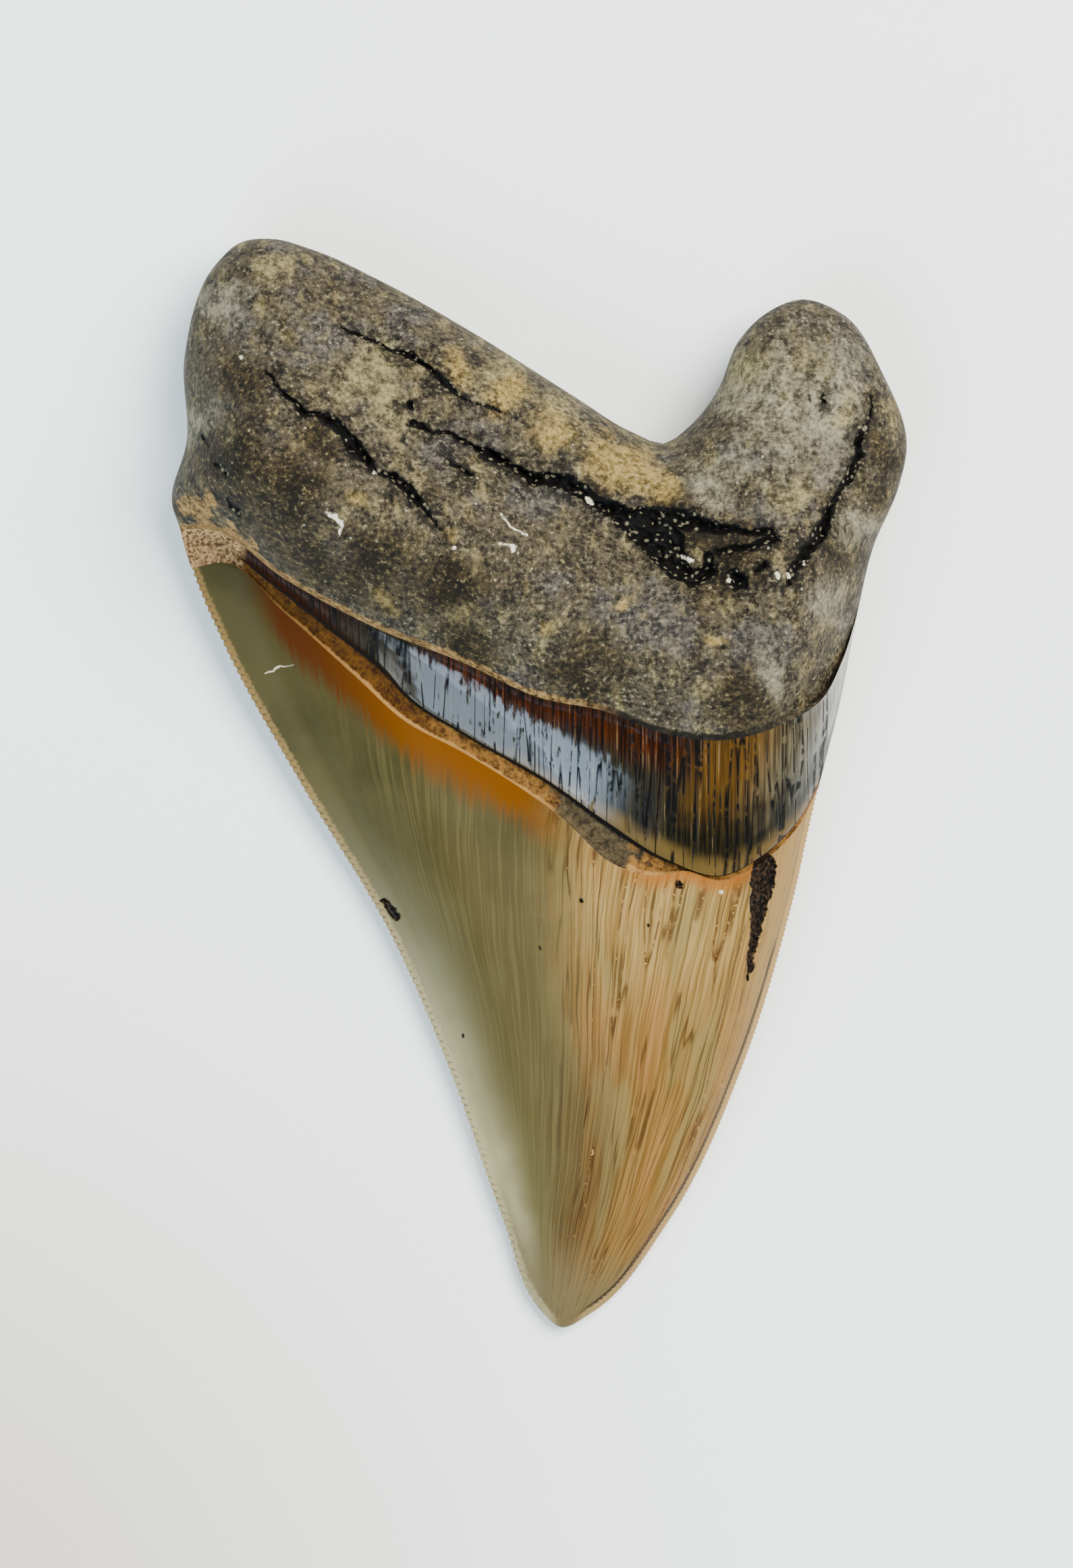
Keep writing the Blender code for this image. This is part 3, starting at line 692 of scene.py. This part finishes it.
def bourlette_material():
    """Glossy and nearly black, red-brown under the neck, cracked along the tooth, with a gleam."""
    m = new_material("fossil_bourlette", Specular_IOR_Level=0.06, Coat_Roughness=0.12)
    across, part = m.field("across"), m.field("along") - 1
    stripe = m.noise(0.32 * MM, 2.0, m.vector(m.axis(0), m.axis(1) * 0.04, 0.0))
    hatch = m.noise(0.45 * MM, 3.0, m.vector(m.axis(0), m.axis(1) * 0.25, 2.0))
    broken = m.noise(1.5 * MM, 2.0)
    crack = m.lines(1.1 * MM, m.vector(m.axis(0), m.axis(1) * 0.05, 1.0), 0.05)
    crack = crack * broken.between(0.35, 0.5)
    cloud = m.noise(4 * MM, 2.0)
    fine = m.noise(0.35 * MM, 3.0)
    base = m.mix(stripe.between(0.35, 0.7), colour("0b0905"), colour("26200f"))
    base = m.mix(across.between(0.3, 0.2), base, m.mix(stripe, colour("0d0402"), colour("2c0e04")))
    strip = (part + (stripe - 0.5) * 0.3).between(0.5, 0.2) * across.between(0.3, 0.4)
    base = m.mix(strip, base, m.mix(stripe.between(0.4, 0.7), colour("150601"), colour("3f1c05")))
    gold = (part + (cloud - 0.5) * 0.5).between(0.75, 0.35)
    gold = gold * across.between(0.68, 0.76) * across.between(0.88, 0.82)
    base = m.mix(gold * 0.9, base, m.mix(stripe.between(0.3, 0.7), colour("37250c"), colour("4f3711")))
    # Grey along the right side: partly grey colour, partly a painted reflection. Side also adds coat
    # there.
    side = across.between(0.78, 0.86) * (part + (cloud - 0.5) * 0.6).between(0.75, 0.4)
    base = m.mix(side, base, m.mix(stripe.between(0.35, 0.65), colour("2a2517"), colour("57503a")))
    threads = stripe.between(0.6, 0.68) * across.between(0.4, 0.5) * broken.between(0.4, 0.55)
    base = m.mix(threads * 0.4, base, colour("655a40"))
    foot = (part + (cloud - 0.5) * 0.2).between(0.82, 0.97) * across.between(0.4, 0.6)
    base = m.mix(foot * 0.9, base, colour("54421f"))
    base = m.mix(crack, base, colour("030202"))
    end = (across + (cloud - 0.5) * 0.02 + (fine - 0.5) * 0.02).between(0.095, 0.08)
    base = m.mix(end, base, m.mix(fine.between(0.35, 0.62), colour("4b3520"), colour("ab875c")))
    gleam = (part - across * 1.2 + (hatch - 0.5) * 0.5).between(-0.36, -0.2)
    gleam = gleam * (across + (hatch - 0.5) * 0.1).between(0.28, 0.34) * across.between(0.68, 0.6)
    gloss = (gleam * hatch.between(0.3, 0.42) + side * 0.4) * (1 - crack)
    height = stripe * 0.4 - crack * 0.6 + cloud * 0.4 + hatch * 0.2 + end * fine
    return m.finish(base, 0.25 + crack * 0.3 + fine * 0.1 + end * 0.4, height, 0.12 * MM, gloss)


def ledge_material():
    """Rough brown ledge below the bourlette, tan towards the middle, with a grey chipped patch."""
    m = new_material("fossil_ledge", Specular_IOR_Level=0.1)
    across, part = m.field("across"), m.field("along") - 2
    fine = m.noise(0.4 * MM, 3.0, roughness=0.65)
    coarse = m.noise(1.2 * MM, 3.0)
    spread = fine.between(0.35, 0.65)
    uneven = (fine * 0.5 + coarse * 0.5).between(0.32, 0.68)
    base = m.mix(uneven, colour("260f02"), colour("5f3c0d"))
    paler = (across + (coarse - 0.5) * 0.2).between(0.36, 0.46)
    base = m.mix(paler, base, m.mix(uneven, colour("2c1a05"), colour("875d28")))
    place = across + (coarse - 0.5) * 0.1
    grey = place.between(0.56, 0.59) * place.between(0.72, 0.69)
    base = m.mix(grey, base, m.mix(uneven, colour("19120b"), colour("53472f")))
    base = m.mix((part + (coarse - 0.5) * 0.25).between(0.8, 0.9) * (1 - grey), base, colour("97703c"))
    # Painted shade: a black line along the top of the ledge, under the bourlette's step.
    base = m.mix((part + (fine - 0.5) * 0.1).between(0.2, 0.1), base, colour("0a0502"))
    base = m.mix((m.field("dark_mark") + (fine - 0.5) * 0.3).between(0.1, -0.1), base, colour("1a0d05"))
    end = (across + (coarse - 0.5) * 0.03).between(0.085, 0.065)
    base = m.mix(end, base, m.mix(spread, colour("4b3520"), colour("ab875c")))
    return m.finish(base, 0.5 + fine * 0.4, fine + coarse * 0.8, 0.3 * MM)


def enamel_material():
    """Smooth olive enamel on the left, striated tan on the right, orange under the ledge."""
    m = new_material("fossil_enamel", Specular_IOR_Level=0.06, Coat_Roughness=0.3)
    across, enamel, inset = m.field("across"), m.field("enamel"), m.field("inset")
    lingual = m.field("lingual")
    cloud = m.noise(9 * MM, 3.0)
    patch = m.noise(2.5 * MM, 2.0)
    fine = m.noise(0.4 * MM, 2.0)
    strand = (1 - across) * (1 - enamel * 0.4) + (cloud - 0.5) * 0.012
    minor = m.noise(0.005, 2.0, m.vector(strand, enamel * 0.02, lingual))
    wide = m.noise(0.06, 2.0, m.vector(strand, enamel * 0.2, lingual))
    major = m.lines(0.05, m.vector(strand, enamel * 0.04, lingual), 0.015) * patch.between(0.3, 0.5)
    second = m.lines(0.016, m.vector(strand, enamel * 0.03, lingual + 2), 0.035)
    second = second * patch.between(0.2, 0.45)
    smooth = m.mix(enamel.between(0.15, 0.7), colour("363117"), colour("544c2b"))
    # Painted reflection: a pale band along the left flank. Sheen also sets the coat there.
    sheen = (across + (cloud - 0.5) * 0.1).between(0.36, 0.12) * enamel.between(0.25, 0.8)
    paler = m.mix(enamel.between(0.4, 0.8), colour("706f55"), colour("9c9268"))
    smooth = m.mix(sheen * 0.85, smooth, paler)
    # Painted shade: a dark olive line down the middle of the flank.
    painted_valley_shade = strand.between(0.72, 0.54) * enamel.between(0.02, 0.2) * enamel.between(0.85, 0.6)
    smooth = m.mix(painted_valley_shade * 0.7, smooth, colour("473c1b"))
    smooth = m.mix(cloud.between(0.4, 0.65) * 0.3, smooth, colour("51492a"))
    smooth = m.mix(minor.between(0.45, 0.65) * across.between(0.1, 0.3) * 0.25, smooth, colour("6a6038"))
    reach = 0.1 - enamel + (cloud - 0.5) * 0.06 + (minor - 0.5) * 0.1
    orange = reach.between(0.0, 0.07) * across.between(0.04, 0.14) * across.between(0.64, 0.5)
    smooth = m.mix(orange, smooth, m.mix(across.between(0.15, 0.4), colour("421e00"), colour("5e3400")))
    light = m.mix(enamel.between(0.1, 0.4), colour("8f7443"), colour("7c5e31"))
    deep = m.mix(enamel.between(0.1, 0.4), colour("6e5528"), colour("5f451c"))
    body = m.mix(minor.between(0.35, 0.65), deep, light)
    body = m.mix(wide.between(0.5, 0.62) * 0.6, body, colour("73653a"))
    body = m.mix(wide.between(0.44, 0.36) * 0.22, body, colour("86542a"))
    low = enamel.between(0.35, 0.6) * enamel.between(0.95, 0.8) * across.between(0.8, 0.45)
    body = m.mix(low * 0.8, body, m.mix(minor.between(0.35, 0.65), colour("2d1e06"), colour("4b3712")))
    body = m.mix(second * 0.75, body, colour("38230a"))
    body = m.mix(major * 0.8, body, colour("371b05"))
    body = m.mix(major * fine.between(0.6, 0.68), body, colour("a57a40"))
    body = m.mix((across + (patch - 0.5) * 0.1).between(0.84, 0.95) * 0.7, body, colour("8a6c3e"))
    right = (strand + (minor - 0.5) * 0.12 + (patch - 0.5) * 0.04).between(0.47, 0.33)
    base = m.mix(right, smooth, body)
    peach = (enamel + (fine - 0.5) * 0.01).between(0.04, 0.005) * across.between(0.66, 0.74)
    base = m.mix(peach * across.between(0.9, 0.84) * 0.8, base, colour("824c16"))
    base = m.mix((enamel + (patch - 0.5) * 0.08).between(0.8, 0.94) * 0.85, base, colour("5a4e32"))
    band = (inset + (fine - 0.5) * 0.8).between(1.05, 0.6) * across.between(0.5, 0.3)
    base = m.mix(band * 0.75, base, m.mix(enamel.between(0.2, 0.7), colour("7c6236"), colour("95875c")))
    tick = m.field("notch").between(0.25, 0.8) * across.between(0.5, 0.3)
    base = m.mix(tick * 0.7, base, colour("2a2010"))
    line = (inset + (fine - 0.5) * 0.3).between(0.55, 0.7) * inset.between(1.05, 0.85)
    line = line * across.between(0.6, 0.8) * enamel.between(0.2, 0.26)
    base = m.mix(line * 0.85, base, colour("221404"))
    base = m.mix(inset.between(0.7, 0.5) * across.between(0.6, 0.8) * 0.8, base, colour("94794c"))
    mark = (m.field("dark_mark") + (fine - 0.5) * 0.5).between(0.12, -0.08)
    base = m.mix(mark, base, m.mix(fine.between(0.4, 0.7), colour("060403"), colour("33261a")))
    chip = (m.field("light_mark") + (fine - 0.5) * 0.15).between(0.06, -0.03)
    base = m.mix(chip, base, colour("b5ab8c"))
    height = minor * right * 0.3 - major * right * 0.5 + fine * 0.08 + cloud * 0.3
    return m.finish(base, 0.32 + fine * 0.12 + right * 0.1 + mark * 0.3, height, 0.1 * MM, sheen * 0.3)


WELD_DISTANCE = 1e-7
SHARP_DEGREES = 60


def make_tooth():
    """Both faces joined along the outline, fitted to the solid's box and dressed."""
    outline, stretches = cut_outline()
    sides = (
        [stretches[n][::-1] for n in ("left_lobe", "left_bourlette", "left_ledge", "left_edge")],
        [stretches[n] for n in ("right_lobe", "right_bourlette", "right_ledge", "right_edge")],
    )
    joined = bmesh.new()
    for name, lingual in (("lingual_face", True), ("labial_face", False)):
        joined.from_mesh(make_face(name, lingual, outline, stretches, sides))
    bmesh.ops.remove_doubles(joined, verts=joined.verts, dist=WELD_DISTANCE)
    bmesh.ops.recalc_face_normals(joined, faces=joined.faces)
    mesh = bpy.data.meshes.new("fossil_tooth")
    joined.to_mesh(mesh)
    joined.free()
    low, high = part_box("tooth")
    corners = np.empty(len(mesh.vertices) * 3)
    mesh.vertices.foreach_get("co", corners)
    corners = corners.reshape(-1, 3)
    own_low, own_high = corners.min(axis=0), corners.max(axis=0)
    corners = np.array(low) + (corners - own_low) * (np.array(high - low) / (own_high - own_low))
    mesh.vertices.foreach_set("co", corners.ravel())
    for material in (root_material(), bourlette_material(), ledge_material(), enamel_material()):
        mesh.materials.append(material)  # in the order of the slots
    mesh.shade_smooth()
    mesh.set_sharp_from_angle(angle=radians(SHARP_DEGREES))
    tooth = bpy.data.objects.new("fossil_tooth", mesh)
    bpy.context.scene.collection.objects.link(tooth)
    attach(tooth, "root")
    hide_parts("tooth")


FLOOR_HALF_SIDE, FLOOR_GAP = 1.5, 0.1 * MM
PAINTED_SHADE_CORNER, PAINTED_SHADE_REACH = (-0.085, -0.110, 0.0), 0.13


def make_floor():
    """A pale board, with warm painted shade towards one corner."""
    bm = bmesh.new()
    bmesh.ops.create_grid(bm, x_segments=1, y_segments=1, size=FLOOR_HALF_SIDE)
    bmesh.ops.translate(bm, verts=bm.verts, vec=(0, 0, -FLOOR_GAP))
    mesh = bpy.data.meshes.new("floor")
    bm.to_mesh(mesh)
    bm.free()
    m = new_material("floor_board", Specular_IOR_Level=0.1)
    grain = m.noise(1.5 * MM, 3.0)
    away = m.node(
        "ShaderNodeVectorMath", {"operation": "DISTANCE"}, m.position(), PAINTED_SHADE_CORNER, output="Value"
    )
    board = m.mix(grain * 0.15, colour("fcfef9"), colour("f1f1ea"))
    # Painted shade: the board turns warmer and darker towards one corner.
    board = m.mix(away.between(PAINTED_SHADE_REACH, 0.01) * 0.8, board, colour("b8a584"))
    mesh.materials.append(m.finish(board, 0.8, grain, 0.02 * MM))
    floor = bpy.data.objects.new("floor", mesh)
    bpy.context.scene.collection.objects.link(floor)


def add_light(name, place, size, power, tint):
    """A rectangular lamp, width and height, that faces the tooth."""
    light = bpy.data.lights.new(name, "AREA")
    light.shape = "RECTANGLE"
    light.size, light.size_y = size
    light.energy, light.color = power, tint
    lamp = bpy.data.objects.new(name, light)
    lamp.location = place
    lamp.rotation_mode = "QUATERNION"
    lamp.rotation_quaternion = (-Vector(place)).to_track_quat("-Z", "Y")
    bpy.context.scene.collection.objects.link(lamp)


def make_world():
    """Soft light from all round, dimmer from straight above."""
    world = bpy.data.worlds.new("studio")
    m = Maker(world)
    away = m.node("ShaderNodeTexCoord", {}, output="Generated")
    up = m.node("ShaderNodeSeparateXYZ", {}, away, output=2)
    sky = m.mix(up.between(0.85, 0.5), (0.12, 0.12, 0.12, 1.0), (0.92, 0.95, 0.97, 1.0))
    m.put(m.tree.nodes["Background"].inputs["Color"], sky)
    bpy.context.scene.world = world


PHOTO_HEIGHT_PX = 2324
MM_PER_PX = 0.075
PHOTO_MIDDLE = (-0.3 * MM, 0.0)
CAMERA_HEIGHT, SEEN_HEIGHT = 1.5, 5 * MM
SENSOR_WIDTH = 36


def make_camera():
    """Looks straight down and frames what the photograph does."""
    data = bpy.data.cameras.new("camera")
    data.sensor_width = SENSOR_WIDTH
    seen = PHOTO_HEIGHT_PX * MM_PER_PX * MM
    data.lens = data.sensor_width * (CAMERA_HEIGHT - SEEN_HEIGHT) / seen
    camera = bpy.data.objects.new("camera", data)
    camera.location = (*PHOTO_MIDDLE, CAMERA_HEIGHT)
    bpy.context.scene.collection.objects.link(camera)
    bpy.context.scene.camera = camera


make_tooth()
make_floor()
make_camera()
add_light("key", (0.45, 0.35, 0.90), (0.7, 0.7), 31.0, (1.0, 0.99, 0.965))
add_light("window", (-0.40, -0.40, 0.80), (0.62, 0.35), 7.0, (0.62, 0.81, 1.0))
add_light("low_window", (-0.52, -0.68, 0.45), (0.6, 0.64), 7.6, (0.62, 0.81, 1.0))
make_world()
